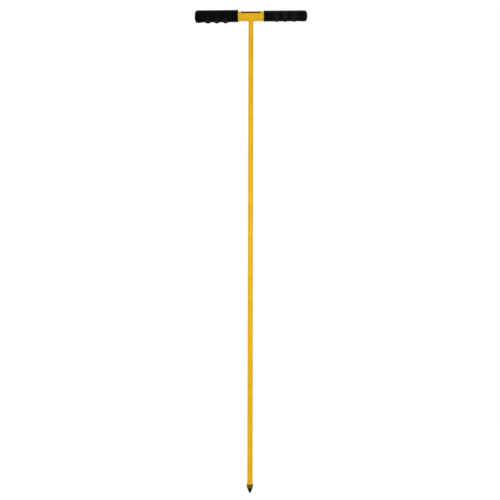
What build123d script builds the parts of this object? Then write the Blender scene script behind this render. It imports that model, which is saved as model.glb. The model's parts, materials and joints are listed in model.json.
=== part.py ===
"""Soil probe: a solid rod with a screwed-in point, pushed into the ground by a cross handle.

All sizes are in millimetres. The origin is the centre of the blunt nose of the point. +Z runs up the rod,
+X along the handle to the right, and -Y faces the person who looks at the front of the probe.
"""

import os
from math import cos, pi, radians, sin

from build123d import *

# Overall sizes
PROBE_LENGTH = 1219.0  # nose of the point to the top of the cross tube, 48 in
BARE_LENGTH = 67.0  # stretch of cross tube between the mouths of the grips
ROD_DIAMETER = 12.7  # 1/2 in bar
TUBE_DIAMETER = 25.4  # 1 in tube
TUBE_WALL = 2.1

# Point and its threaded shank, whose thread is left plain here
POINT_LENGTH = 26.0  # nose to the shoulder that seats on the rod
POINT_STEP = 1.6  # each side, the point is this much wider than the rod: 5/8 in bar
NOSE_DIAMETER = 3.0
CONE_LENGTH = 15.5
SHOULDER_LENGTH = 4.5  # taper from the full diameter back to the rod
THREAD_DIAMETER = 7.94  # 5/16 in thread
THREAD_LENGTH = 16.0
THREAD_LEAD_IN = 0.8

# Rod ends
SEAM_BREAK = 0.4  # broken edges of the rod and the point where they meet
BORE_SPARE_DEPTH = 3.0  # tapped hole beyond the end of the shank
DRILL_POINT_ANGLE = 118.0

# Weld bead where the rod enters the tube
WELD_LEG = 2.2

# Finger grips, one moulding used twice
GRIP_LENGTH = 113.0
GRIP_SIDE_WALL = 0.9  # over the tube, at the thin sides
GRIP_PALM_WALL = 4.0
GRIP_FINGER_WALL = 1.8  # over the tube, at the floor of the finger valleys
GRIP_END_WALL = 6.0
GRIP_END_ROUND = 6.5
RIDGE_COUNT = 3
RIDGE_HEIGHT = 3.8  # crest over the floor of the valleys
RIDGE_SIDE_HEIGHT = 1.0  # crest over the sides of the sleeve
RIDGE_STEPS = 6  # straight steps that a ridge and its valley are made of
END_STEPS = 3  # straight steps that the round end is made of
MOUTH_LENGTH = 21.0  # open mouth to the foot of the first ridge
END_LENGTH = 23.0  # foot of the last ridge to the closed end
SWELL_HEIGHT = 1.2  # closed end over the floor of the valleys
CORE_INSET = 0.3  # core under the surface of the sleeve, where it has no ridge
RIM_WIDTH = 3.0  # bead round the open mouth
RIM_HEIGHT = 0.7
LEFT_GRIP_TURN = 0.0  # degrees that the finger side is turned to the front
RIGHT_GRIP_TURN = 56.0

# Label over the top of the tube
LABEL_MARGIN = 7.6  # end of the label to the mouth of a grip
LABEL_HALF_WRAP = 73.0  # degrees down each side from the top of the tube
LABEL_THICKNESS = 0.25
LABEL_CORNER = 3.0

# Fits
ROD_HOLE_CLEARANCE = 0.1  # each side, rod in the tube's hole
THREAD_CLEARANCE = 0.08  # each side, shank in the rod's bore
GRIP_CLEARANCE = 0.02  # each side, a stretched grip hugs the tube

# Values that follow from those above
ROD_RADIUS = ROD_DIAMETER / 2
TUBE_RADIUS = TUBE_DIAMETER / 2
TUBE_AXIS = PROBE_LENGTH - TUBE_RADIUS
TUBE_LENGTH = BARE_LENGTH + 2 * (GRIP_LENGTH - GRIP_END_WALL)
POINT_RADIUS = ROD_RADIUS + POINT_STEP
THREAD_RADIUS = THREAD_DIAMETER / 2
TUBE_PLANE = Plane(origin=(0, 0, TUBE_AXIS), x_dir=(0, 1, 0), z_dir=(1, 0, 0))

os.makedirs("parts", exist_ok=True)


# Point: a turned, hardened piece with a blunt nose, a cone, a body wider than the rod and a shank
SHANK_TOP = POINT_LENGTH + THREAD_LENGTH
with BuildPart() as probe_tip:
    with BuildSketch(Plane.XZ):
        with BuildLine():
            Polyline(
                (0, 0),
                (NOSE_DIAMETER / 2, 0),
                (POINT_RADIUS, CONE_LENGTH),
                (POINT_RADIUS, POINT_LENGTH - SHOULDER_LENGTH),
                (ROD_RADIUS, POINT_LENGTH - SEAM_BREAK),
                (ROD_RADIUS - SEAM_BREAK, POINT_LENGTH),
                (THREAD_RADIUS, POINT_LENGTH),
                (THREAD_RADIUS, SHANK_TOP - THREAD_LEAD_IN),
                (THREAD_RADIUS - THREAD_LEAD_IN, SHANK_TOP),
                (0, SHANK_TOP),
                close=True,
            )
        make_face()
    revolve(axis=Axis.Z)
probe_tip.part.label = "probe_tip"


# Rod: a straight bar that seats on the shoulder of the point and ends at the axis of the tube
BORE_RADIUS = THREAD_RADIUS + THREAD_CLEARANCE
BORE_DEPTH = THREAD_LENGTH + BORE_SPARE_DEPTH
DRILL_POINT = BORE_RADIUS / sin(radians(DRILL_POINT_ANGLE / 2)) * cos(radians(DRILL_POINT_ANGLE / 2))
with BuildPart() as probe_rod:
    with BuildSketch(Plane.XY.offset(POINT_LENGTH)):
        Circle(ROD_RADIUS)
    extrude(amount=TUBE_AXIS - POINT_LENGTH)
    chamfer(faces().sort_by(Axis.Z)[0].edges(), SEAM_BREAK)
    with BuildSketch(Plane.XZ):
        with BuildLine():
            Polyline(
                (0, POINT_LENGTH),
                (BORE_RADIUS + SEAM_BREAK, POINT_LENGTH),
                (BORE_RADIUS, POINT_LENGTH + SEAM_BREAK),
                (BORE_RADIUS, POINT_LENGTH + BORE_DEPTH),
                (0, POINT_LENGTH + BORE_DEPTH + DRILL_POINT),
                close=True,
            )
        make_face()
    revolve(axis=Axis.Z, mode=Mode.SUBTRACT)
probe_rod.part.label = "probe_rod"


# Tube: open at both ends, drilled through its underside only
with BuildPart() as cross_tube:
    with BuildSketch(TUBE_PLANE.offset(-TUBE_LENGTH / 2)):
        Circle(TUBE_RADIUS)
        Circle(TUBE_RADIUS - TUBE_WALL, mode=Mode.SUBTRACT)
    extrude(amount=TUBE_LENGTH)
    with BuildSketch(Plane.XY.offset(TUBE_AXIS)):
        Circle(ROD_RADIUS + ROD_HOLE_CLEARANCE)
    extrude(amount=-TUBE_DIAMETER, mode=Mode.SUBTRACT)
cross_tube.part.label = "cross_tube"


# Weld: what is left of a bevel along the seam of rod and tube once both are taken away
with BuildPart() as handle_weld:
    with BuildSketch(TUBE_PLANE.offset(-TUBE_DIAMETER)):
        Circle(TUBE_RADIUS)
    extrude(amount=2 * TUBE_DIAMETER)
    with BuildSketch(Plane.XY.offset(TUBE_AXIS)):
        Circle(ROD_RADIUS)
    extrude(amount=-TUBE_DIAMETER)
    seam = edges().filter_by(GeomType.LINE, reverse=True).filter_by(GeomType.CIRCLE, reverse=True)
    chamfer(seam, WELD_LEG)
    with BuildSketch(TUBE_PLANE.offset(-2 * TUBE_DIAMETER)):
        Circle(TUBE_RADIUS)
    extrude(amount=4 * TUBE_DIAMETER, mode=Mode.SUBTRACT)
    with BuildSketch(Plane.XY.offset(TUBE_AXIS)):
        Circle(ROD_RADIUS)
    extrude(amount=-2 * TUBE_DIAMETER, mode=Mode.SUBTRACT)
handle_weld.part.label = "handle_weld"


# Label: a rounded patch wrapped over the top of the bare stretch of tube
LABEL_LENGTH = BARE_LENGTH - 2 * LABEL_MARGIN
LABEL_SPAN = 2 * TUBE_RADIUS * sin(radians(LABEL_HALF_WRAP))
with BuildPart() as handle_label:
    with BuildSketch(Plane.XY.offset(TUBE_AXIS)):
        RectangleRounded(LABEL_LENGTH, LABEL_SPAN, LABEL_CORNER)
    extrude(amount=TUBE_DIAMETER)
    with BuildSketch(TUBE_PLANE.offset(-LABEL_LENGTH)):
        Circle(TUBE_RADIUS + LABEL_THICKNESS)
        Circle(TUBE_RADIUS, mode=Mode.SUBTRACT)
    extrude(amount=2 * LABEL_LENGTH, mode=Mode.INTERSECT)
handle_label.part.label = "handle_label"


# Grips: a rounded sleeve, and a turned core with its axis nearer the fingers, which stands out as ridges
SLEEVE_RADIUS = TUBE_RADIUS + GRIP_SIDE_WALL
SLEEVE_HEIGHT = TUBE_DIAMETER + GRIP_PALM_WALL + GRIP_FINGER_WALL
SLEEVE_RISE = (GRIP_PALM_WALL - GRIP_FINGER_WALL) / 2
CORE_RADIUS = SLEEVE_RADIUS + RIDGE_SIDE_HEIGHT
CORE_DROP = TUBE_RADIUS + GRIP_FINGER_WALL + RIDGE_HEIGHT - CORE_RADIUS
VALLEY_RADIUS = CORE_RADIUS - RIDGE_HEIGHT - CORE_INSET
RIDGE_PITCH = (GRIP_LENGTH - MOUTH_LENGTH - END_LENGTH) / RIDGE_COUNT
RIDGES_END = GRIP_LENGTH - END_LENGTH


def grip_plane(side, turn):
    """Plane across the mouth of a grip: Z points to the closed end, Y to the palm side."""
    palm = Vector(0, sin(radians(turn)), cos(radians(turn)))
    along = Vector(side, 0, 0)
    mouth = (side * BARE_LENGTH / 2, 0, TUBE_AXIS)
    return Plane(origin=mouth, x_dir=palm.cross(along), z_dir=along)


def core_radius(station):
    """Ridges and valleys with level steps at top and bottom, then half a wave up to the swell at the end."""
    turns = (station - MOUTH_LENGTH) / RIDGE_PITCH
    crest = (1 - cos(2 * pi * turns) / cos(pi / RIDGE_STEPS)) / 2
    height = RIDGE_HEIGHT if station <= RIDGES_END else SWELL_HEIGHT
    return VALLEY_RADIUS + (height + CORE_INSET) * crest


def end_steps():
    """Distance from the mouth and inset of the sections that round the closed end."""
    turns = [radians(90 * i / END_STEPS) for i in range(END_STEPS + 1)]
    return [(GRIP_LENGTH - GRIP_END_ROUND * (1 - sin(t)), GRIP_END_ROUND * (1 - cos(t))) for t in turns]


def sleeve_section(plane, margin=0.0):
    """Two half rounds with flat sides, deeper on the palm side than on the finger side."""
    with BuildSketch(plane) as section:
        with Locations((0, SLEEVE_RISE)):
            SlotOverall(SLEEVE_HEIGHT + 2 * margin, 2 * (SLEEVE_RADIUS + margin), rotation=90)
    return section.sketch


def core_axis(plane):
    """Axis of the core, in the direction of the closed end."""
    return Axis(plane.origin - plane.y_dir * CORE_DROP, plane.z_dir)


def core_outline(plane):
    """Half outline of the core, drawn on the palm side, where the sleeve hides its seam."""
    step = RIDGE_PITCH / RIDGE_STEPS
    waves = RIDGE_COUNT * RIDGE_STEPS + RIDGE_STEPS // 2
    stations = [MOUTH_LENGTH + (i + 0.5) * step for i in range(waves)]
    points = [(at, core_radius(at)) for at in stations]
    points += [(at, core_radius(stations[-1]) - inset) for at, inset in end_steps()]
    across = plane.z_dir.cross(plane.y_dir)
    with BuildSketch(Plane(core_axis(plane).position, x_dir=plane.z_dir, z_dir=across)) as outline:
        with BuildLine():
            Polyline((stations[0], 0), *points, (GRIP_LENGTH, 0), close=True)
        make_face()
    return outline.sketch


def make_grip(side, turn):
    plane = grip_plane(side, turn)
    rim = sleeve_section(plane, RIM_HEIGHT)
    sleeve = [sleeve_section(plane)]
    sleeve += [sleeve_section(plane.offset(at), -inset) for at, inset in end_steps()]
    with BuildPart() as grip:
        loft(sections=sleeve, ruled=True)
        revolve(core_outline(plane), axis=core_axis(plane))
        extrude(rim, amount=RIM_WIDTH)
        with BuildSketch(plane):
            Circle(TUBE_RADIUS + GRIP_CLEARANCE)
        extrude(amount=GRIP_LENGTH - GRIP_END_WALL, mode=Mode.SUBTRACT)
    return grip.part


left_grip = make_grip(-1, LEFT_GRIP_TURN)
left_grip.label = "left_grip"
right_grip = make_grip(1, RIGHT_GRIP_TURN)
right_grip.label = "right_grip"

for part in (
    probe_tip.part,
    probe_rod.part,
    cross_tube.part,
    handle_weld.part,
    handle_label.part,
    left_grip,
    right_grip,
):
    export_step(part, f"parts/{part.label}.step")
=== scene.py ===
# %% [markdown]
# # A soil probe, dressed around its CAD frame
# The CAD model gives every size and the one joint, and Blender adds the looks. All of it shares one frame, in
# metres: the origin is the nose of the point, +Z runs up the rod, +X along the handle to the right, and the
# front of the probe faces -Y. The imported model comes in first and stays where it is, and the size of each
# part's box is printed. Sizes of the probe are written in millimetres, as on a drawing, and MM turns them into
# metres. Sizes of the studio are in metres.

# %% Load the frame
import json
from functools import partial
from math import atan2, cos, hypot, pi, radians, sin, sqrt

import bmesh
import bpy
from mathutils import Matrix, Quaternion, Vector

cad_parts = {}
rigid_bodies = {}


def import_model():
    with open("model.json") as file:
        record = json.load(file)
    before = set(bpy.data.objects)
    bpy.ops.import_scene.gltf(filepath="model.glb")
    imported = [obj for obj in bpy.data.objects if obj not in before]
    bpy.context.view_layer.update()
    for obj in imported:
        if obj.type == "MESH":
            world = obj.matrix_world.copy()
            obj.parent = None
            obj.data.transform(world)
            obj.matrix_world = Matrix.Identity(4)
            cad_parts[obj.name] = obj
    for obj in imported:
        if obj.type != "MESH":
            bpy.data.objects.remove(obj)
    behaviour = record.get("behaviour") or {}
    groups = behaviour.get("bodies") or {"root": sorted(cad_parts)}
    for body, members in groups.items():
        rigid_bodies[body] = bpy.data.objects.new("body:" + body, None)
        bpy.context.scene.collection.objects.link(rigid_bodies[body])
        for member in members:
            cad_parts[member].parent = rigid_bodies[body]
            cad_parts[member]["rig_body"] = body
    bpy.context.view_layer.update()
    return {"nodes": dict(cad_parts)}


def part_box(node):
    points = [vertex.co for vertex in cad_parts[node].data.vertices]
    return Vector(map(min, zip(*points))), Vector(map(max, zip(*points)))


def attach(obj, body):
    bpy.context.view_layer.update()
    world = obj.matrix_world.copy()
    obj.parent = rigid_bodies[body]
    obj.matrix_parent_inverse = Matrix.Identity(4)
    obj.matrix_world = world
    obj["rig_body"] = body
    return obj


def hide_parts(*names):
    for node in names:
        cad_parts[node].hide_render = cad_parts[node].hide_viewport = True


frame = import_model()
scene = bpy.context.scene
MM = 0.001
for node_name in frame["nodes"]:
    low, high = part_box(node_name)
    print(f"{node_name}: {', '.join(f'{side / MM:.1f}' for side in high - low)} mm")

# %% [markdown]
# ## Camera
# The photo was taken from about two and a half metres away and from a low place: the underside of the handle
# shows, and the rod looks a little thicker towards the point, which is nearer. A camera at the height of a
# low table, tipped up at the middle of the rod, gives both. It stands slightly to the right, which makes the
# right grip the nearer one, so the handle seems to climb a little to the right. A camera can also be flown
# into place in the viewport, but written numbers can be tuned one at a time. The lens is in millimetres on
# Blender's 36 mm sensor.

# %% Camera
CAMERA_DISTANCE = 2.499  # level distance from the rod
CAMERA_HEIGHT = 0.155  # above the nose of the point
CAMERA_SIDE = radians(1.6)
CAMERA_ROLL = radians(0.137)
AIM = Vector((-0.0011, 0, 0.5902))
LENS = 73.26

camera = bpy.data.objects.new("camera", bpy.data.cameras.new("camera"))
scene.collection.objects.link(camera)
scene.camera = camera
camera.data.lens = LENS
camera.location = (CAMERA_DISTANCE * sin(CAMERA_SIDE), -CAMERA_DISTANCE * cos(CAMERA_SIDE), CAMERA_HEIGHT)
sight = AIM - camera.location
camera.rotation_mode = "QUATERNION"
camera.rotation_quaternion = sight.to_track_quat("-Z", "Y") @ Quaternion((0, 0, 1), CAMERA_ROLL)
print(f"camera {sight.length:.3f} m from its aim, lens {LENS} mm")

# %% [markdown]
# ## White studio
# The probe hangs in front of plain white. One bright world would give that background, but it would also
# flood the object from all sides. So the world has two strengths. The camera, mirror-like reflections and
# anything see-through meet white of strength 1, and every other ray meets a softer grey, which leaves the
# shaping to the lamps. A light path node tells the rays apart. The Standard view shows colours as they are
# written.

# %% Helpers for shader nodes
scene.view_settings.view_transform = "Standard"


def plug(tree, socket, value):
    """Link a value that is another node's socket into an input, and set any other value on it."""
    if isinstance(value, bpy.types.NodeSocket):
        tree.links.new(value, socket)
    else:
        socket.default_value = value


def node(tree, kind, inputs=None, **settings):
    """Add a shader node with its settings and inputs."""
    made = tree.nodes.new(kind)
    for name, value in settings.items():
        setattr(made, name, value)
    for name, value in (inputs or {}).items():
        plug(tree, made.inputs[name], value)
    return made


def combine(tree, operation, first, second=0.0, clamp=False):
    """A math node's result from one or two sockets or numbers."""
    made = node(tree, "ShaderNodeMath", {0: first, 1: second}, operation=operation, use_clamp=clamp)
    return made.outputs["Value"]


def sees_background(tree):
    """1 for the rays that show the background: the camera's, reflected ones and those through something."""
    path = node(tree, "ShaderNodeLightPath").outputs
    direct = combine(tree, "ADD", path["Is Camera Ray"], path["Is Glossy Ray"], clamp=True)
    return combine(tree, "ADD", direct, path["Is Transmission Ray"], clamp=True)


print(f"view transform: {scene.view_settings.view_transform}")

# %% World
WORLD_LIGHT = 0.54
WHITE = (1, 1, 1, 1)

world = bpy.data.worlds.new("white_studio")
scene.world = world
world.use_nodes = True
tree = world.node_tree
tree.nodes.clear()
soft = node(tree, "ShaderNodeBackground", {"Color": WHITE, "Strength": WORLD_LIGHT})
white = node(tree, "ShaderNodeBackground", {"Color": WHITE, "Strength": 1.0})
choice = {0: sees_background(tree), 1: soft.outputs[0], 2: white.outputs[0]}
switch = node(tree, "ShaderNodeMixShader", choice)
node(tree, "ShaderNodeOutputWorld", {"Surface": switch.outputs[0]})
print(f"world: white to the camera, {WORLD_LIGHT} as light")

# %% [markdown]
# ## Lamps
# Studio light is soft, because it comes from wide boxes. A sun with a wide angle works as a large softbox
# whose light doesn't fade with distance, which suits an object over a metre tall. One shines from high on the
# left in front, and one fills in from behind. In the photo the rod is brightest at its middle and fades to
# both ends. Suns can't do that, but an area light stands somewhere and fades with distance, so an upright
# strip light in front of the rod's middle does. The camera doesn't see the strip itself.

# %% Softboxes
SUNS = {  # name: (direction that the light comes from, strength, width in degrees)
    "high_softbox": ((-0.45, -1.0, 1.10), 0.56, 70),
    "back_fill": ((0.45, 1.0, 0.60), 0.70, 90),
}

for name, (source, strength, spread) in SUNS.items():
    lamp = bpy.data.objects.new(name, bpy.data.lights.new(name, "SUN"))
    lamp.data.energy = strength
    lamp.data.angle = radians(spread)
    lamp.rotation_euler = Vector(source).to_track_quat("Z", "Y").to_euler()
    scene.collection.objects.link(lamp)
    print(f"{name}: strength {strength}, {spread} degrees wide")

# %% Strip light
STRIP_PLACE = Vector((0.12, -0.8, 0.64))
STRIP_WIDTH = 0.30
STRIP_HEIGHT = 0.7
STRIP_POWER = 2.75

strip = bpy.data.objects.new("strip_light", bpy.data.lights.new("strip_light", "AREA"))
strip.data.shape = "RECTANGLE"
strip.data.size = STRIP_WIDTH
strip.data.size_y = STRIP_HEIGHT
strip.data.energy = STRIP_POWER
strip.location = STRIP_PLACE
strip.rotation_euler = Vector((STRIP_PLACE.x, STRIP_PLACE.y, 0)).to_track_quat("Z", "Y").to_euler()
strip.visible_camera = False
scene.collection.objects.link(strip)
print(f"strip_light: {STRIP_POWER} W, {STRIP_WIDTH} by {STRIP_HEIGHT} m")

# %% [markdown]
# ## Floor
# The floor is a wide sheet of white paper some way below the nose, because the probe hangs and its point can
# be let down. A curved backdrop is the studio's way to hide the horizon. Here a flat sheet is enough: a faint
# glow, which only background rays see, lifts it to the white of the world, and it still takes the object's
# shadow.

# %% Sheet on the floor
FLOOR_DROP = 0.15
FLOOR_HALF = 60.0

mesh = bmesh.new()
bmesh.ops.create_grid(mesh, x_segments=1, y_segments=1, size=FLOOR_HALF)
bmesh.ops.translate(mesh, verts=mesh.verts, vec=(0, 0, -FLOOR_DROP))
floor = bpy.data.objects.new("floor", bpy.data.meshes.new("floor"))
mesh.to_mesh(floor.data)
mesh.free()
scene.collection.objects.link(floor)
print(f"floor {FLOOR_DROP / MM:.0f} mm under the nose")

# %% White paper
PAPER_WHITE = (0.86, 0.86, 0.86, 1)
PAPER_LIFT = 0.38

paper = bpy.data.materials.new("white_paper")
paper.use_nodes = True
tree = paper.node_tree
tree.nodes.clear()
sheet = node(tree, "ShaderNodeBsdfDiffuse", {"Color": PAPER_WHITE})
lift = combine(tree, "MULTIPLY", sees_background(tree), PAPER_LIFT)
glow = node(tree, "ShaderNodeEmission", {"Color": WHITE, "Strength": lift})
both = node(tree, "ShaderNodeAddShader", {0: sheet.outputs[0], 1: glow.outputs[0]})
node(tree, "ShaderNodeOutputMaterial", {"Surface": both.outputs[0]})
floor.data.materials.append(paper)
print(f"{paper.name}: lifted by {PAPER_LIFT} for background rays")

# %% [markdown]
# ## Yellow powder coat
# The rod, the tube and the weld are coated together after welding, with the point screwed in: dry powder is
# blown on and melted in an oven. Such a coat is never flat. It has a fine orange-peel ripple about two
# millimetres long, a slow drift of shade and a few dust grains baked in. Where the rod goes into the ground
# it gets long dull scuffs, and it chips a little at its lower edge. The end of the rod and its tapped hole
# stay bare. All of this could be painted on an image, but nodes have no limit of resolution. Every pattern is
# measured in millimetres on object coordinates, so it keeps its real scale and runs on from piece to piece.

# %% Helpers for patterns
MOST = (0.3, 0.7)  # most values of a noise lie between these
PEAKS = (0.62, 0.74)  # and only its peaks reach these


def noise(tree, place, size, detail):
    """Soft random blotches about size millimetres across."""
    inputs = {"Vector": place, "Scale": 1 / (size * MM), "Detail": detail}
    return node(tree, "ShaderNodeTexNoise", inputs).outputs["Fac"]


def cells(tree, place, size):
    """Distance to the nearest of many scattered points, size millimetres apart."""
    inputs = {"Vector": place, "Scale": 1 / (size * MM)}
    return node(tree, "ShaderNodeTexVoronoi", inputs).outputs["Distance"]


def stretch(tree, value, low, high, to_low=0.0, to_high=1.0):
    """Spread the part of a value between low and high over another range, with soft ends."""
    limits = {"Value": value, "From Min": low, "From Max": high, "To Min": to_low, "To Max": to_high}
    return node(tree, "ShaderNodeMapRange", limits, interpolation_type="SMOOTHSTEP").outputs["Result"]


def fade(tree, length, low, high, to_low=0.0, to_high=1.0):
    """Stretch a length between two limits in millimetres."""
    return stretch(tree, length, low * MM, high * MM, to_low, to_high)


def add(tree, first, second):
    """Sum of two sockets or numbers."""
    return combine(tree, "ADD", first, second)


def multiply(tree, first, second):
    """Product of two sockets or numbers."""
    return combine(tree, "MULTIPLY", first, second)


print(f"a pattern 1 mm across has a scale of {1 / MM:.0f}")

# %% Helpers for finishes
COLOUR_A, COLOUR_B, COLOUR_RESULT = 6, 7, 2  # places of the colour sockets on a mix node


def new_finish(name):
    """A material with an empty tree, its shader, and the object coordinates that patterns are laid on."""
    material = bpy.data.materials.new(name)
    material.use_nodes = True
    tree = material.node_tree
    tree.nodes.clear()
    shader = node(tree, "ShaderNodeBsdfPrincipled")
    node(tree, "ShaderNodeOutputMaterial", {"Surface": shader.outputs[0]})
    return material, tree, shader, node(tree, "ShaderNodeTexCoord").outputs["Object"]


def mix_colours(tree, amount, first, second):
    """Blend two colours, each a socket or a linear RGB value."""
    made = node(tree, "ShaderNodeMix", {0: amount}, data_type="RGBA")
    for socket, colour in ((COLOUR_A, first), (COLOUR_B, second)):
        plug(tree, made.inputs[socket], (*colour, 1) if isinstance(colour, tuple) else colour)
    return made.outputs[COLOUR_RESULT]


def relief(tree, height, depth, strength):
    """Normals of a pattern that stands out by depth millimetres where it is 1."""
    inputs = {"Height": height, "Distance": depth * MM, "Strength": strength}
    return node(tree, "ShaderNodeBump", inputs).outputs["Normal"]


def connect(tree, shader, **sockets):
    """Set or link the shader's inputs, with underscores for the spaces in their names."""
    for name, value in sockets.items():
        plug(tree, shader.inputs[name.replace("_", " ")], value)


# %% Shade and dust of the coat
YELLOW_DEEP = (0.745, 0.415, 0.002)
YELLOW_LIGHT = (0.82, 0.480, 0.003)
SHADE_SIZE = 40.0
DUST_GAP = 7.0
DUST_SIZE = (0.02, 0.045)  # flat top and foot of a grain, as shares of the gap
DUST_STRENGTH = 0.55


def yellow_shades(tree, place):
    """Yellow that drifts slowly between two shades."""
    drift = stretch(tree, noise(tree, place, SHADE_SIZE, detail=3), *MOST)
    return mix_colours(tree, drift, YELLOW_DEEP, YELLOW_LIGHT)


def baked_dust(tree, place):
    """Strong on scattered grains and 0 between them."""
    return stretch(tree, cells(tree, place, DUST_GAP), *DUST_SIZE, DUST_STRENGTH, 0.0)


print(f"dust: grains up to {2 * DUST_SIZE[1] * DUST_GAP:.2f} mm across, {DUST_GAP} mm apart")

# %% Scuffs of the coat
SCUFF_WIDTH = 1.3
SCUFF_SQUEEZE = 0.03  # of the coordinates up the rod, which draws the scuffs out
SCUFF_ZONE = (30.0, 450.0)  # heights between which they die away
SCUFF_STRENGTH = 0.35


def long_scuffs(tree, place, height):
    """Streaks along the rod, strong near the point and none above the zone."""
    squeezed = node(tree, "ShaderNodeMapping", {"Vector": place, "Scale": (1, 1, SCUFF_SQUEEZE)})
    streaks = stretch(tree, noise(tree, squeezed.outputs["Vector"], SCUFF_WIDTH, detail=3), *PEAKS)
    return multiply(tree, streaks, fade(tree, height, *SCUFF_ZONE, SCUFF_STRENGTH, 0.0))


print(f"scuffs: about {SCUFF_WIDTH / SCUFF_SQUEEZE:.0f} mm long and {SCUFF_WIDTH} mm wide")

# %% Bare places in the coat
SEAT = 26.0  # height of the shoulder of the point, on which the rod sits
CHIP_SIZE = 1.1
CHIP_ZONE = (SEAT, SEAT + 1.6)
CHIP_PULL = 0.30  # added to the noise at the seat, so that the chips gather there
CHIP_LIMITS = (0.86, 0.93)
COATED_REACH = 5.9  # the coat runs in over the broken edge of the rod, as far as this from its axis
HOLE_TOP = 60.0  # above the end of the tapped hole
MASK_EDGE = 0.1


def under(tree, length, limit):
    """1 where a length is under a limit in millimetres, and 0 over it."""
    return fade(tree, length, limit, limit + MASK_EDGE, 1.0, 0.0)


def chips(tree, place, height):
    """1 on small flakes lost from the lower edge of the rod."""
    near_edge = fade(tree, height, *CHIP_ZONE, CHIP_PULL, 0.0)
    return stretch(tree, add(tree, noise(tree, place, CHIP_SIZE, detail=3), near_edge), *CHIP_LIMITS)


def end_of_rod(tree, axes):
    """1 on the end of the rod and in its tapped hole."""
    squares = [multiply(tree, axes[name], axes[name]) for name in "XY"]
    from_axis = combine(tree, "POWER", add(tree, *squares), 0.5)
    return multiply(tree, under(tree, from_axis, COATED_REACH), under(tree, axes["Z"], HOLE_TOP))


print(f"bare: chips up to {CHIP_ZONE[1]} mm, and {COATED_REACH} mm round the rod's axis up to {HOLE_TOP} mm")

# %% Powder coat
YELLOW_DULL = (0.68, 0.41, 0.020)
DUST_BROWN = (0.40, 0.20, 0.003)
BARE_STEEL = (0.16, 0.15, 0.14)
GLOSS_SIZE = 11.0
COAT_ROUGHNESS = (0.40, 0.50)
SCUFF_ROUGHNESS = 0.25  # more than the coat's, on a full scuff
PEEL_SIZE = 1.9
PEEL_DEPTH = 0.05
PEEL_STRENGTH = 0.6
DUST_HEIGHT = 0.8  # of the peel's depth, on a full grain
COAT_SPECULAR = 0.15


def powder_coat():
    """Semi-gloss yellow coat with orange peel, baked-in dust, scuffs low down and chips at the point."""
    material, tree, shader, place = new_finish("yellow_powder_coat")
    axes = node(tree, "ShaderNodeSeparateXYZ", {"Vector": place}).outputs
    dust = baked_dust(tree, place)
    scuffs = long_scuffs(tree, place, axes["Z"])
    bare = combine(tree, "MAXIMUM", chips(tree, place, axes["Z"]), end_of_rod(tree, axes))
    colour = mix_colours(tree, dust, yellow_shades(tree, place), DUST_BROWN)
    colour = mix_colours(tree, scuffs, colour, YELLOW_DULL)
    colour = mix_colours(tree, bare, colour, BARE_STEEL)
    rough = stretch(tree, noise(tree, place, GLOSS_SIZE, detail=2), *MOST, *COAT_ROUGHNESS)
    rough = add(tree, rough, multiply(tree, scuffs, SCUFF_ROUGHNESS))
    peel = add(tree, noise(tree, place, PEEL_SIZE, detail=1), multiply(tree, dust, DUST_HEIGHT))
    ripple = relief(tree, combine(tree, "SUBTRACT", peel, bare), PEEL_DEPTH, PEEL_STRENGTH)
    connect(tree, shader, Base_Color=colour, Roughness=rough, Normal=ripple, Specular_IOR_Level=COAT_SPECULAR)
    return material


coat = powder_coat()
print(f"{coat.name}: orange peel {PEEL_SIZE} mm long")

# %% Coat the rod and the tube


def dress(node_name, material):
    """Give a CAD node a finish in place of its plain one."""
    for slot in frame["nodes"][node_name].material_slots:
        slot.material = material
    print(f"{node_name}: {material.name}")


dress("probe_rod", coat)
dress("cross_tube", coat)

# %% [markdown]
# ## Weld bead
# The rod goes into a hole in the tube's underside and a fillet weld runs round it. A weld is laid down as a
# row of small puddles, each of which freezes into a crescent, and the powder coat softens them. A spin would
# make a plain ring, but the bead follows the saddle where a thin round bar meets a thicker tube, so it rises
# and falls. Here a circle is pulled out into rings by extrusion, and each ring's points are lifted on to the
# saddle. The last ring is bridged to the first inside the metal, which closes the bead.

# %% Helpers for pieces built ring by ring


def start_rings(mesh, segments):
    """A circle in an empty mesh, whose vertices remember their angle. Extruding hands it on to each ring."""
    turn = mesh.verts.layers.float.new("turn")
    bmesh.ops.create_circle(mesh, segments=segments, radius=1.0)
    for vertex in mesh.verts:
        vertex[turn] = atan2(vertex.co.y, vertex.co.x)
    return turn, mesh.edges[:]


def set_ring(ring, turn, place):
    """Put each vertex of a ring where place says for its angle."""
    for vertex in {vertex for edge in ring for vertex in edge.verts}:
        vertex.co = place(vertex[turn])


def pull_ring(mesh, ring, turn, place):
    """Extrude a ring into the next one and put that in its place."""
    made = bmesh.ops.extrude_edge_only(mesh, edges=ring)["geom"]
    fresh = {item for item in made if isinstance(item, bmesh.types.BMVert)}
    edges = [item for item in made if isinstance(item, bmesh.types.BMEdge) and fresh.issuperset(item.verts)]
    set_ring(edges, turn, place)
    return edges


# %% Helper that keeps a piece


def keep_piece(mesh, name, node_name, material, crease=40):
    """Close a bmesh as an object that stands for a CAD node, smooth but for edges over crease degrees."""
    bmesh.ops.recalc_face_normals(mesh, faces=mesh.faces)
    open_edges = sum(not edge.is_manifold for edge in mesh.edges)
    piece = bpy.data.objects.new(name, bpy.data.meshes.new(name))
    mesh.to_mesh(piece.data)
    mesh.free()
    piece.data.shade_smooth()
    piece.data.set_sharp_from_angle(angle=radians(crease))
    piece.data.materials.append(material)
    scene.collection.objects.link(piece)
    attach(piece, frame["nodes"][node_name]["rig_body"])
    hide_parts(node_name)
    print(f"{name}: {len(piece.data.polygons)} faces, {open_edges} open edges, for {node_name}")
    return piece


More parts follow.
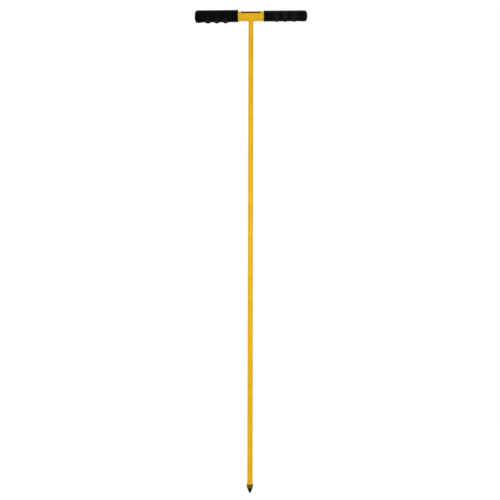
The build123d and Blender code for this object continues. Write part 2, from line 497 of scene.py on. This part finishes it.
# %% Shape of the bead
TUBE_RADIUS = 12.7
TUBE_AXIS = 1206.3
ROD_RADIUS = 6.35
WELD_LEG = 1.9
WELD_WAVER = ((0.07, 3, 0.8), (0.05, 7, 0.0))  # of the leg: share of it, waves round the rod, start
WELD_BULGE = 0.18
PUDDLES = 26
PUDDLE_HEIGHT = 0.11
PUDDLE_BOW = 0.55  # how far a crescent bows, as a share of a puddle
SUNK = 0.3  # how far the hidden edges of the bead sit inside the rod and the tube


def saddle(angle, reach):
    """Height of the tube's underside at that distance from the rod's axis."""
    return TUBE_AXIS - sqrt(TUBE_RADIUS**2 - (reach * sin(angle)) ** 2)


def bead_point(angle, across):
    """Point on the bead's face, from its edge on the rod at 0 to its edge on the tube at 1."""
    leg = WELD_LEG * (1 + sum(share * sin(waves * angle + start) for share, waves, start in WELD_WAVER))
    crown = sin(pi * across)
    crescent = PUDDLES * angle / (2 * pi) - PUDDLE_BOW * crown
    puddle = PUDDLE_HEIGHT * crown * (1 - 2 * (crescent % 1.0) ** 2)
    out = (WELD_BULGE + puddle) / sqrt(2)
    reach = ROD_RADIUS + leg * across + out
    foot = saddle(angle, ROD_RADIUS) - leg
    head = saddle(angle, ROD_RADIUS + leg)
    rise = foot + (head - foot) * across - out
    return Vector((reach * cos(angle), reach * sin(angle), rise))


def buried_edge(angle, across):
    """The bead's edge at 0 or 1, moved into the metal that it is fused to."""
    inward = Vector((-cos(angle), -sin(angle), 0)) if across == 0 else Vector((0, 0, 1))
    return bead_point(angle, across) + inward * (SUNK + WELD_BULGE)


print(f"saddle rises {saddle(pi / 2, ROD_RADIUS) - saddle(0, ROD_RADIUS):.2f} mm round the rod")

# %% Weld bead
WELD_SEGMENTS = 208
WELD_ROWS = 10

mesh = bmesh.new()
turn, ring = start_rings(mesh, WELD_SEGMENTS)
set_ring(ring, turn, partial(buried_edge, across=0))
first = ring
for row in range(WELD_ROWS + 1):
    ring = pull_ring(mesh, ring, turn, partial(bead_point, across=row / WELD_ROWS))
ring = pull_ring(mesh, ring, turn, partial(buried_edge, across=1))
bmesh.ops.bridge_loops(mesh, edges=first + ring)
bmesh.ops.scale(mesh, vec=(MM, MM, MM), verts=mesh.verts)
keep_piece(mesh, "weld_bead", "handle_weld", coat)

# %% [markdown]
# ## Label film
# A thin film is stuck over the top of the tube between the grips. From the camera's low place only its front
# edge shows, as a dark line along the tube's top. It is plain yellow with a dark border. A UV map could carry
# the border, but coordinates draw it just as well: by the angle round the tube along the sides, and by the
# distance from the middle at the ends.

# %% Border of the label
LABEL_HALF = 25.3  # half of the label's length
BAND_START = 51.5  # degrees down from the top, where the border along each side starts
BAND_EDGE = 0.8
BORDER = 2.4  # width of the border across each end
BORDER_EDGE = 0.15
INK_SIZE = 0.6  # of the unevenness of the border's line
INK_TURN = 0.004  # how far it wanders along the sides, in radians
INK_SHIFT = 0.048  # and across the ends


def dark_border(tree, place):
    """1 on the border along the sides and across the ends of the label."""
    axes = node(tree, "ShaderNodeSeparateXYZ", {"Vector": place}).outputs
    above = combine(tree, "SUBTRACT", axes["Z"], TUBE_AXIS * MM)
    lean = combine(tree, "ARCTAN2", combine(tree, "ABSOLUTE", axes["Y"]), above)
    uneven = noise(tree, place, INK_SIZE, detail=1)
    side = add(tree, lean, multiply(tree, uneven, INK_TURN))
    sides = stretch(tree, side, radians(BAND_START), radians(BAND_START + BAND_EDGE))
    along = add(tree, combine(tree, "ABSOLUTE", axes["X"]), multiply(tree, uneven, INK_SHIFT * MM))
    ends = fade(tree, along, LABEL_HALF - BORDER, LABEL_HALF - BORDER + BORDER_EDGE)
    return combine(tree, "MAXIMUM", sides, ends)


print(f"label: {2 * LABEL_HALF:.1f} mm long, {BORDER} mm border across each end")

# %% Label film
LABEL_YELLOW = (0.78, 0.45, 0.004)
LABEL_DARK = (0.040, 0.007, 0.0006)
LABEL_RUBBED = (0.070, 0.022, 0.003)
FADE_SIZE = 18.0
FADE_STRENGTH = 0.25
RUB_SIZE = 2.2
RUB_STRENGTH = 0.35
BUBBLE_GAP = 5.0
BUBBLE_SIZE = (0.0, 0.16)  # middle and foot of a bubble, as shares of the gap
BUBBLE_HEIGHT = 0.3  # of the wrinkles' depth
WRINKLE_SIZE = 6.0
WRINKLE_DEPTH = 0.08
WRINKLE_STRENGTH = 0.4
SHINE_SIZE = 3.0
FILM_ROUGHNESS = (0.26, 0.40)
FILM_SPECULAR = 0.05


def label_film():
    """Gloss film, yellow with a dark border, with faint bubbles and rubbed ink."""
    material, tree, shader, place = new_finish("bordered_film")
    drift = stretch(tree, noise(tree, place, FADE_SIZE, detail=2), *MOST, 0.0, FADE_STRENGTH)
    field = mix_colours(tree, drift, LABEL_YELLOW, YELLOW_LIGHT)
    rubbed = stretch(tree, noise(tree, place, RUB_SIZE, detail=4), *PEAKS, 0.0, RUB_STRENGTH)
    ink = mix_colours(tree, rubbed, LABEL_DARK, LABEL_RUBBED)
    colour = mix_colours(tree, dark_border(tree, place), field, ink)
    bubbles = stretch(tree, cells(tree, place, BUBBLE_GAP), *BUBBLE_SIZE, 1.0, 0.0)
    uneven = add(tree, noise(tree, place, WRINKLE_SIZE, detail=1), multiply(tree, bubbles, BUBBLE_HEIGHT))
    wrinkle = relief(tree, uneven, WRINKLE_DEPTH, WRINKLE_STRENGTH)
    rough = stretch(tree, noise(tree, place, SHINE_SIZE, detail=3), *MOST, *FILM_ROUGHNESS)
    connect(tree, shader, Base_Color=colour, Roughness=rough, Normal=wrinkle,
            Specular_IOR_Level=FILM_SPECULAR)
    return material


film = label_film()
print(f"{film.name}: bubbles {BUBBLE_GAP} mm apart")

# %% [markdown]
# ## Label
# The film is made as a real label is: cut flat from one rectangle with rounded corners, sliced across so that
# it can bend, wrapped round the tube, and only then given its thickness. A piece cut out of a thicker tube
# would also fit, but its corners, rounded as seen from above, would come out long and thin on the tube's
# sides.

# %% Label cut flat
LABEL_INSIDE = TUBE_RADIUS + 0.01  # a hair off the tube
LABEL_HALF_WRAP = radians(73)
LABEL_CORNER = 1.5
CORNER_STEPS = 8
WRAP_SLICES = 48
ON_CUT = 1e-4  # a vertex this near to a cutting plane counts as on it

mesh = bmesh.new()
half_width = LABEL_INSIDE * LABEL_HALF_WRAP
bmesh.ops.create_grid(mesh, x_segments=1, y_segments=1, size=1.0)
bmesh.ops.scale(mesh, vec=(LABEL_HALF, half_width, 1), verts=mesh.verts)
bmesh.ops.bevel(mesh, geom=mesh.verts[:], offset=LABEL_CORNER, offset_type="OFFSET", segments=CORNER_STEPS,
                profile=0.5, affect="VERTICES", material=-1)
for slice_number in range(1, WRAP_SLICES):
    across = half_width * (2 * slice_number / WRAP_SLICES - 1)
    bmesh.ops.bisect_plane(mesh, geom=mesh.verts[:] + mesh.edges[:] + mesh.faces[:], dist=ON_CUT,
                           plane_co=(0, across, 0), plane_no=(0, 1, 0))
print(f"flat label: {2 * LABEL_HALF:.1f} by {2 * half_width:.1f} mm, {len(mesh.faces)} slices")

# %% Label wrapped
LABEL_THICKNESS = 0.24


def wrap(vertex):
    """Move a point of the flat film on to the tube, the same distance round it as it was across the film."""
    lean = vertex.co.y / LABEL_INSIDE
    vertex.co = (vertex.co.x, LABEL_INSIDE * sin(lean), TUBE_AXIS + LABEL_INSIDE * cos(lean))


for vertex in mesh.verts:
    wrap(vertex)
bmesh.ops.solidify(mesh, geom=mesh.faces[:], thickness=-LABEL_THICKNESS)
reach = [hypot(vertex.co.y, vertex.co.z - TUBE_AXIS) for vertex in mesh.verts]
print(f"label: {min(reach):.2f} to {max(reach):.2f} mm from the axis of the tube")
bmesh.ops.scale(mesh, vec=(MM, MM, MM), verts=mesh.verts)
keep_piece(mesh, "wrapped_label", "handle_label", film)

# %% [markdown]
# ## Black vinyl
# The grips are moulded in soft black vinyl. Its skin copies the mould: a fine pebble grain with a little pale
# dust in it. On the crests of the finger ridges, hands rub it smoother. The crests are also a shade greyer,
# partly from that wear and partly as a painted sheen where the ridges catch the light. Those patches could be
# placed by coordinates, but each grip sits at its own angle. So the height of the ridges is stored on the mesh,
# as an attribute called crest, and the patches follow the shape itself and not a place in space.

# %% Black vinyl
VINYL_BLACK = (0.0005, 0.0005, 0.0006)
VINYL_GREY = (0.0016, 0.0015, 0.0015)
# Grey of the crests: partly wear and partly a painted sheen.
VINYL_WORN_AND_SHEEN = (0.012, 0.012, 0.012)
VINYL_DUST = (0.020, 0.019, 0.017)
PATCHY = (0.35, 0.70)  # values of a noise that make patches with soft edges
BLOTCH_SIZE = 9.0
SHEEN_AND_WEAR_SIZE = 4.0
# Least and most of the wear and painted sheen on a crest.
SHEEN_AND_WEAR = (0.55, 1.0)  # least and most wear of a crest
SPECK_SIZE = 1.4
SPECK_LIMITS = (0.68, 0.78)
SPECK_STRENGTH = 0.5
VINYL_ROUGHNESS = (0.34, 0.26)  # of the black and of the grey
WORN_SMOOTHER = 0.12  # off the roughness where it is fully worn
PEBBLE_GAP = 0.75
PORE_SIZE = 0.22
PORE_HEIGHT = 0.5  # of the pebbles' depth
PEBBLE_DEPTH = 0.07
PEBBLE_STRENGTH = 0.5
VINYL_SPECULAR = 0.027


def black_vinyl():
    """Black skin with pebble grain and dust specks; ridges smoother, and greyer as wear and painted sheen."""
    material, tree, shader, place = new_finish("grained_vinyl")
    crest = node(tree, "ShaderNodeAttribute", attribute_name="crest").outputs["Fac"]
    blotch = stretch(tree, noise(tree, place, BLOTCH_SIZE, detail=4), *PATCHY)
    sheen_and_wear = multiply(tree, crest, stretch(tree, noise(tree, place, SHEEN_AND_WEAR_SIZE, detail=3), *MOST, *SHEEN_AND_WEAR))
    specks = stretch(tree, noise(tree, place, SPECK_SIZE, detail=3), *SPECK_LIMITS, 0.0, SPECK_STRENGTH)
    colour = mix_colours(tree, blotch, VINYL_BLACK, VINYL_GREY)
    # Painted sheen in part: the crests are greyer where the ridges catch the light, and partly worn.
    colour = mix_colours(tree, sheen_and_wear, colour, VINYL_WORN_AND_SHEEN)
    colour = mix_colours(tree, specks, colour, VINYL_DUST)
    rough = stretch(tree, blotch, 0.0, 1.0, *VINYL_ROUGHNESS)
    rough = combine(tree, "SUBTRACT", rough, multiply(tree, sheen_and_wear, WORN_SMOOTHER))
    pores = multiply(tree, noise(tree, place, PORE_SIZE, detail=2), PORE_HEIGHT)
    skin = relief(tree, add(tree, cells(tree, place, PEBBLE_GAP), pores), PEBBLE_DEPTH, PEBBLE_STRENGTH)
    connect(tree, shader, Base_Color=colour, Roughness=rough, Normal=skin, Specular_IOR_Level=VINYL_SPECULAR)
    return material


vinyl = black_vinyl()
print(f"{vinyl.name}: pebbles {PEBBLE_GAP} mm apart")

# %% [markdown]
# ## Finger grips
# Each grip is a thick sleeve with a closed end, pushed over the end of the tube. The palm side is a plain
# half round with a thick wall. The finger side has three ridges with a valley before, between and after them,
# and swells a little at the closed end. A bead runs round the open mouth. Both grips come from one mould, but
# they were pushed on at different angles: the left one has its ridges straight down, and the right one has
# them turned to the front. A ridge is part of a round core, whose axis lies nearer the fingers than the
# tube's axis, so it fades out towards the palm. Sculpting would make such a shape by eye. Here the skin is
# pulled ring by ring from the middle of the closed end over the outside to the mouth and back through the
# bore, so it follows the sizes and is one closed skin with a real wall.

# %% Ridges of a grip
GRIP_LENGTH = 113.0
RIDGES_START = 21.0  # from the open mouth
RIDGES_END = 90.0
RIDGE_PITCH = 23.0
RIDGE_HEIGHT = 4.1  # crest over valley, of the core
SWELL_HEIGHT = 1.6


def wave(way, height):
    """Height of a smooth wave, one pitch long, some way on from its foot."""
    return height * (1 - cos(2 * pi * way / RIDGE_PITCH)) / 2


def ridge(station):
    """How far the core stands out over its valleys, at a distance from the mouth."""
    return wave(station - RIDGES_START, RIDGE_HEIGHT) if RIDGES_START < station < RIDGES_END else 0.0


def swell(station):
    """How far the finger side stands out at the closed end, rising over half a pitch from the last ridge."""
    return wave(min(max(station - RIDGES_END, 0.0), RIDGE_PITCH / 2), SWELL_HEIGHT)


print(f"{(RIDGES_END - RIDGES_START) / RIDGE_PITCH:.0f} ridges, {RIDGE_PITCH} mm apart")

# %% Outline of a grip
SLEEVE_RADIUS = 13.6
PALM_CENTRE = 3.1  # from the axis of the tube to the middle of each half round
FINGER_CENTRE = -0.9
CORE_DROP = 2.8  # from there down to the axis of the core
VALLEY_RADIUS = 10.5
RIDGE_BLEND = 0.8  # softness of the line where a ridge leaves the side of the sleeve
SWELL_SPREAD = 0.7  # under 1, so that the swell reaches further round the side


def outline(angle, station, margin=0.0):
    """Point on the outside: a half round on the palm side, one with the ridges on the finger side."""
    across, up = cos(angle), sin(angle)
    if up > 0:
        reach = SLEEVE_RADIUS + margin
        return Vector((reach * across, reach * up + PALM_CENTRE, station))
    radius = VALLEY_RADIUS + ridge(station)
    core = sqrt(radius**2 - (CORE_DROP * across) ** 2) - CORE_DROP * up
    reach = (SLEEVE_RADIUS + core + hypot(SLEEVE_RADIUS - core, RIDGE_BLEND)) / 2 + margin
    reach += swell(station) * (-up) ** SWELL_SPREAD
    return Vector((reach * across, reach * up + FINGER_CENTRE, station))


crest_station = RIDGES_START + RIDGE_PITCH / 2
palm_height = outline(pi / 2, crest_station).y
crest_depth = -outline(-pi / 2, crest_station).y
print(f"palm {palm_height:.1f} mm over the axis of the tube, crests {crest_depth:.1f} mm under it")

# %% Rings of a grip
RING_GAP = 1.25
END_FACE = (0.3, 0.9)  # rings of the end face, as shares of the way out from its middle
END_ROUND = 7.2  # length of the rounded end
END_INSET = 12.0  # how far the rounding reaches in from the side
END_STEPS = 12
END_DOME = 0.2
RIM = ((3.9, 0.0), (3.3, 0.12), (2.9, 0.45), (2.2, 0.68),  # bead: distance from the mouth, height
       (1.3, 0.70), (0.6, 0.62), (0.2, 0.38), (0.0, 0.0))
BORE_RADIUS = 12.72
BORE_END = GRIP_LENGTH - 6.0
BORE = ((BORE_RADIUS + 0.3, 0.0), (BORE_RADIUS, 0.4), (BORE_RADIUS, 30.0),  # radius, distance from the mouth
        (BORE_RADIUS, 60.0), (BORE_RADIUS, BORE_END - 0.3), (BORE_RADIUS - 0.3, BORE_END),
        (7.0, BORE_END), (0.6, BORE_END))


def end_face(angle, share):
    """Point between the middle of the closed end at 0 and its rounded edge at 1, slightly domed."""
    middle = Vector((0, 0, GRIP_LENGTH))
    flat = middle.lerp(outline(angle, GRIP_LENGTH, -END_INSET), share)
    return flat + Vector((0, 0, END_DOME * (1 - share**2)))


def bore(angle, radius, station):
    """Point on a circle about the axis of the tube."""
    return Vector((radius * cos(angle), radius * sin(angle), station))


def grip_rings():
    """Functions that place the rings of one skin, in order from the middle of the closed end."""
    rings = [partial(end_face, share=share) for share in END_FACE]
    for step in range(1, END_STEPS + 1):
        tilt = pi / 2 * step / END_STEPS
        station = GRIP_LENGTH - END_ROUND * (1 - cos(tilt))
        rings.append(partial(outline, station=station, margin=-END_INSET * (1 - sin(tilt))))
    rim_start = RIM[0][0]
    straight = GRIP_LENGTH - END_ROUND - rim_start
    count = round(straight / RING_GAP)
    for step in range(1, count):
        rings.append(partial(outline, station=rim_start + straight * (1 - step / count)))
    rings += [partial(outline, station=station, margin=height) for station, height in RIM]
    rings += [partial(bore, radius=radius, station=station) for radius, station in BORE]
    return rings


print(f"{len(grip_rings())} rings from the middle of the closed end round to the end of the bore")

# %% Both grips
GRIP_SEGMENTS = 72
GRIP_MOUTH = 33.5  # from the middle of the handle to the open mouth
LEFT_TURN = 0.0
RIGHT_TURN = radians(56)


def make_grip(name, node_name, side, finger_turn):
    """Pull one grip, mark its crests and push it on that side of the tube."""
    mesh = bmesh.new()
    crest = mesh.verts.layers.float.new("crest")
    turn, ring = start_rings(mesh, GRIP_SEGMENTS)
    places = grip_rings()
    set_ring(ring, turn, places[0])
    first = ring
    for place in places[1:]:
        ring = pull_ring(mesh, ring, turn, place)
    bmesh.ops.holes_fill(mesh, edges=first + ring)
    for vertex in mesh.verts:
        vertex[crest] = ridge(vertex.co.z) / RIDGE_HEIGHT * max(0.0, -sin(vertex[turn])) ** 2
    palm = Vector((0, sin(finger_turn), cos(finger_turn)))
    along = Vector((side, 0, 0))
    turned = Matrix((palm.cross(along), palm, along)).transposed().to_4x4()
    mouth = Matrix.Translation((side * GRIP_MOUTH * MM, 0, TUBE_AXIS * MM))
    bmesh.ops.transform(mesh, matrix=mouth @ turned @ Matrix.Scale(MM, 4), verts=mesh.verts)
    piece = keep_piece(mesh, name, node_name, vinyl, crease=180)
    smooth = piece.modifiers.new("smooth_skin", "SUBSURF")
    smooth.levels = smooth.render_levels = 1


make_grip("left_finger_grip", "left_grip", -1, LEFT_TURN)
make_grip("right_finger_grip", "right_grip", 1, RIGHT_TURN)

# %% [markdown]
# ## Blackened steel
# The point is turned on a lathe from tool steel and blackened. The lathe leaves rings a fraction of a
# millimetre apart, and the blackening has an olive cast. The lower part of the cone, which faces down, is
# painted darker still: painted shade, standing in for the dark surroundings that it would mirror. The nose is
# the first to be rubbed to bare steel. A band at the widest place is painted brighter, partly as wear and
# partly as a painted highlight. The probe is coated with its point screwed in, so the yellow coat runs on over
# the shoulder and stops at the widest place, and the seat and the thread behind it stay bare. Rings could be
# cut into the mesh, but they are finer than its faces. A noise that only knows the height draws them, with one
# value all round.

# %% Painted shade, wear and painted highlight of the steel
CONE_LENGTH = 15.5
# The darker lower cone is painted shade.
DARK_CONE_END = (10.3, 13.8)  # heights between which the darker part of the cone ends
DARK_CONE_RAGGED = 2.5
NOSE_WEAR = 0.9  # how far up the nose the wear reaches
WIDEST = CONE_LENGTH - 1.0
WIDEST_REACH = 4.5  # how far it reaches above and below the widest place
WIDEST_STRENGTH = 0.65
SCRATCH_SIZE = 1.1
SCRATCH_LIMITS = (0.95, 1.60)
SCRATCH_STRENGTH = 0.7


def near_height(tree, height, middle, reach):
    """1 at a height in millimetres, fading to 0 at reach above and below it."""
    away = combine(tree, "ABSOLUTE", combine(tree, "SUBTRACT", height, middle * MM))
    return fade(tree, away, 0.0, reach, 1.0, 0.0)


def raise_by(tree, height, amount, most):
    """A height raised by an uneven amount of up to most millimetres, which makes a level line ragged."""
    return add(tree, height, multiply(tree, amount, most * MM))


def painted_shade_on_cone(tree, height, stain):
    """1 on the lower cone, which is painted dark as shade, with an edge as ragged as the stain."""
    return fade(tree, raise_by(tree, height, stain, DARK_CONE_RAGGED), *DARK_CONE_END, 1.0, 0.0)


def rubbed_and_painted_highlight(tree, place, height):
    """Strong on worn scratches at the nose and on the widest place, there partly a painted highlight."""
    widest = multiply(tree, near_height(tree, height, WIDEST, WIDEST_REACH), WIDEST_STRENGTH)
    sheen_and_wear = combine(tree, "MAXIMUM", near_height(tree, height, 0.0, NOSE_WEAR), widest)
    scratched = add(tree, sheen_and_wear, noise(tree, place, SCRATCH_SIZE, detail=4))
    return stretch(tree, scratched, *SCRATCH_LIMITS, 0.0, SCRATCH_STRENGTH)


# The cone is painted dark as shade up to these heights; the band at the widest place is partly a painted
# highlight.
print(f"steel: hardened up to {DARK_CONE_END[0]} mm, rubbed at {WIDEST} mm and at the nose")

# %% Coat over the shoulder
COAT_END = (20.4, 20.6)  # heights between which the yellow coat starts, before its edge is made ragged
COAT_RAGGED = 0.9
DRIP_SIZE = 1.5
SEAT_EDGE = SEAT - 0.15


def shoulder_coat(tree, place, height):
    """1 on the shoulder, from a ragged edge at the widest place up to the seat."""
    ragged = raise_by(tree, height, noise(tree, place, DRIP_SIZE, detail=3), COAT_RAGGED)
    return multiply(tree, fade(tree, ragged, *COAT_END), under(tree, height, SEAT_EDGE))


print(f"shoulder coated from {COAT_END[0] - COAT_RAGGED:.1f} or more up to {SEAT_EDGE} mm")

# %% Blackened steel
# STEEL_BLACK is painted shade on the lower cone, which faces down.
STEEL_BLACK = (0.0045, 0.0040, 0.0030)
STEEL_OLIVE = (0.104, 0.077, 0.014)
STEEL_GREY = (0.062, 0.048, 0.013)
# Bright rubbed steel, which on the band at the widest place is partly a painted highlight.
STEEL_RUBBED_AND_HIGHLIGHT = (0.26, 0.220, 0.085)
STAIN_SIZE = 4.0
STEEL_ROUGHNESS = (0.29, 0.38)
STEEL_SPECULAR = 0.15
LATHE_RINGS = 0.22
RING_DEPTH = 0.05
COAT_STEP = 1.5  # the coat stands over the steel by this many ring depths
DRAWN_OUT = 0.7  # how far the rings draw a highlight out
QUARTER_TURN = 0.25  # it is drawn out across the rings


def blackened_steel():
    """Dark turned steel with lathe rings, rubbed places and painted highlight, black cone and yellow shoulder.
    """
    material, tree, shader, place = new_finish("blackened_steel")
    height = node(tree, "ShaderNodeSeparateXYZ", {"Vector": place}).outputs["Z"]
    ring_inputs = {"W": height, "Scale": 1 / (LATHE_RINGS * MM), "Detail": 2.0}
    rings = node(tree, "ShaderNodeTexNoise", ring_inputs, noise_dimensions="1D").outputs["Fac"]
    stain = noise(tree, place, STAIN_SIZE, detail=4)
    coated = shoulder_coat(tree, place, height)
    bare = combine(tree, "SUBTRACT", 1.0, coated)
    colour = mix_colours(tree, stretch(tree, stain, *PATCHY), STEEL_OLIVE, STEEL_GREY)
    # Painted shade: the lower cone is painted darker.
    colour = mix_colours(tree, painted_shade_on_cone(tree, height, stain), colour, STEEL_BLACK)
    # Partly painted highlight: the band at the widest place is rubbed and painted bright.
    colour = mix_colours(tree, rubbed_and_painted_highlight(tree, place, height), colour, STEEL_RUBBED_AND_HIGHLIGHT)
    colour = mix_colours(tree, coated, colour, mix_colours(tree, stain, YELLOW_DEEP, YELLOW_LIGHT))
    rough = stretch(tree, rings, *MOST, *STEEL_ROUGHNESS)
    surface = add(tree, multiply(tree, rings, bare), multiply(tree, coated, COAT_STEP))
    turned = relief(tree, surface, RING_DEPTH, strength=1.0)
    around = node(tree, "ShaderNodeTangent", direction_type="RADIAL", axis="Z").outputs[0]
    connect(tree, shader, Base_Color=colour, Metallic=bare, Roughness=rough, Normal=turned, Tangent=around,
            Specular_IOR_Level=STEEL_SPECULAR, Anisotropic=DRAWN_OUT, Anisotropic_Rotation=QUARTER_TURN)
    return material


steel = blackened_steel()
print(f"{steel.name}: lathe rings {LATHE_RINGS} mm apart")

# %% [markdown]
# ## Body of the point
# The point is a round piece, so half of its outline is enough: a spin turns it into the solid, and a bevel
# breaks the sharp edges, as a stone does on the real one. A cone from the Add menu would give straight sides,
# but a ground cone has a slight belly, so the outline has a few points along it. It ends in the relief
# groove, from which the thread starts.

# %% Outline of the point
POINT_RADIUS = 7.95
NOSE_RADIUS = 1.5
SHOULDER_START = 21.5
SEAM_BREAK = 0.4
RELIEF_RADIUS = 3.0
RELIEF_TOP = SEAT + 1.4
BELLY = 0.35  # how far the cone is rounded out halfway up
BELLY_STEPS = 8
CONE = [(NOSE_RADIUS + (POINT_RADIUS - NOSE_RADIUS) * share + BELLY * sin(pi * share), CONE_LENGTH * share)
        for share in (step / BELLY_STEPS for step in range(BELLY_STEPS + 1))]
PROFILE = ((0, 0), *CONE, (POINT_RADIUS, SHOULDER_START), (ROD_RADIUS, SEAT - SEAM_BREAK),  # radius, height
           (ROD_RADIUS - SEAM_BREAK, SEAT), (RELIEF_RADIUS, SEAT), (RELIEF_RADIUS, RELIEF_TOP))

print(f"outline of the point: {len(PROFILE)} corners, {2 * POINT_RADIUS} mm wide, {RELIEF_TOP} mm high")

# %% Body of the point
POINT_SEGMENTS = 96
ROUNDS = (  # height, radius and size of each edge that is broken
    (0.0, NOSE_RADIUS, 0.4),
    (CONE_LENGTH, POINT_RADIUS, 1.8),
    (SHOULDER_START, POINT_RADIUS, 1.0),
)
ROUND_STEPS = 5
SAME_PLACE = 1e-3  # vertices this near to each other are one


def draw_line(mesh, points):
    """Join points of radius and height by edges, ready to be spun."""
    corners = [mesh.verts.new((radius, 0, height)) for radius, height in points]
    return corners + [mesh.edges.new(pair) for pair in zip(corners, corners[1:])]


def ring_edges(mesh, height, radius):
    """The edges of a ring at that height and radius."""
    def on_ring(vertex):
        off_radius = hypot(vertex.co.x, vertex.co.y) - radius
        return abs(vertex.co.z - height) < SAME_PLACE and abs(off_radius) < SAME_PLACE
    return [edge for edge in mesh.edges if all(map(on_ring, edge.verts))]


mesh = bmesh.new()
bmesh.ops.spin(mesh, geom=draw_line(mesh, PROFILE), cent=(0, 0, 0), axis=(0, 0, 1), angle=2 * pi,
               steps=POINT_SEGMENTS, use_merge=True)
bmesh.ops.remove_doubles(mesh, verts=mesh.verts, dist=SAME_PLACE)
bmesh.ops.recalc_face_normals(mesh, faces=mesh.faces)
for height, radius, size in ROUNDS:
    bmesh.ops.bevel(mesh, geom=ring_edges(mesh, height, radius), offset=size, offset_type="OFFSET",
                    segments=ROUND_STEPS, profile=0.5, affect="EDGES", material=-1)
print(f"point: {len(mesh.faces)} faces before its thread")

# %% [markdown]
# ## Thread
# The shank that screws into the rod has a real thread, which shows when the point is let down. A screw
# modifier could make one, but a thread is also a spin, of one tooth, which climbs by one pitch in each turn.
# The spin runs past both ends, and two flat cuts give the thread its length. The last turns are pressed in to
# a short cone, so that the thread finds its hole. Then it is bridged to the body below and closed by a flat
# end above.

# %% Helpers for the thread
PITCH = 1.411  # 18 turns to the inch
CREST_RADIUS = 3.93
ROOT_RADIUS = 3.10
TOOTH = ((ROOT_RADIUS, 0.0), (ROOT_RADIUS, 0.12), (CREST_RADIUS, 0.42),  # radius, share of the pitch
         (CREST_RADIUS, 0.55), (ROOT_RADIUS, 0.85), (ROOT_RADIUS, 1.0))
TURN_STEPS = 48
THREAD_START = RELIEF_TOP + 0.4
THREAD_END = SEAT + 16.0
SPARE_TURNS = 3  # half of them below the start


def spin_thread(mesh):
    """One tooth, spun up a helix from below the start of the thread to above its end."""
    start = THREAD_START - SPARE_TURNS / 2 * PITCH
    turns = round((THREAD_END - THREAD_START) / PITCH) + SPARE_TURNS
    tooth = draw_line(mesh, [(radius, start + share * PITCH) for radius, share in TOOTH])
    bmesh.ops.spin(mesh, geom=tooth, cent=(0, 0, 0), axis=(0, 0, 1), dvec=(0, 0, PITCH / TURN_STEPS),
                   angle=turns * 2 * pi, steps=turns * TURN_STEPS)
    bmesh.ops.remove_doubles(mesh, verts=mesh.verts, dist=SAME_PLACE)


def cut_level(mesh, height, keep_above):
    """Cut the mesh at a height and drop what is below or above it."""
    bmesh.ops.bisect_plane(mesh, geom=mesh.verts[:] + mesh.edges[:] + mesh.faces[:], dist=ON_CUT,
                           plane_co=(0, 0, height), plane_no=(0, 0, 1), clear_inner=keep_above,
                           clear_outer=not keep_above)


print(f"thread: pitch {PITCH} mm, from {THREAD_START:.1f} to {THREAD_END:.1f} mm over the nose")

# %% Thread of the point
LEAD_IN = 0.8  # length of the short cone at the end

thread = bmesh.new()
spin_thread(thread)
cut_level(thread, THREAD_START, keep_above=True)
cut_level(thread, THREAD_END, keep_above=False)
for vertex in thread.verts:
    reach = hypot(vertex.co.x, vertex.co.y)
    limit = CREST_RADIUS - max(0.0, vertex.co.z - (THREAD_END - LEAD_IN))
    if reach > limit:
        vertex.co.xy *= limit / reach
bmesh.ops.remove_doubles(thread, verts=thread.verts, dist=SAME_PLACE)
print(f"thread: {len(thread.faces)} faces")

# %% Point with its thread
thread_data = bpy.data.meshes.new("thread")
thread.to_mesh(thread_data)
thread.free()
mesh.from_mesh(thread_data)
bpy.data.meshes.remove(thread_data)


def open_ring(mesh, height):
    """The open edges at a height."""
    def at_height(vertex):
        return abs(vertex.co.z - height) < SAME_PLACE
    return [edge for edge in mesh.edges if edge.is_boundary and all(map(at_height, edge.verts))]


bmesh.ops.bridge_loops(mesh, edges=open_ring(mesh, RELIEF_TOP) + open_ring(mesh, THREAD_START))
bmesh.ops.holes_fill(mesh, edges=open_ring(mesh, THREAD_END))
bmesh.ops.scale(mesh, vec=(MM, MM, MM), verts=mesh.verts)
keep_piece(mesh, "steel_point", "probe_tip", steel, crease=35)
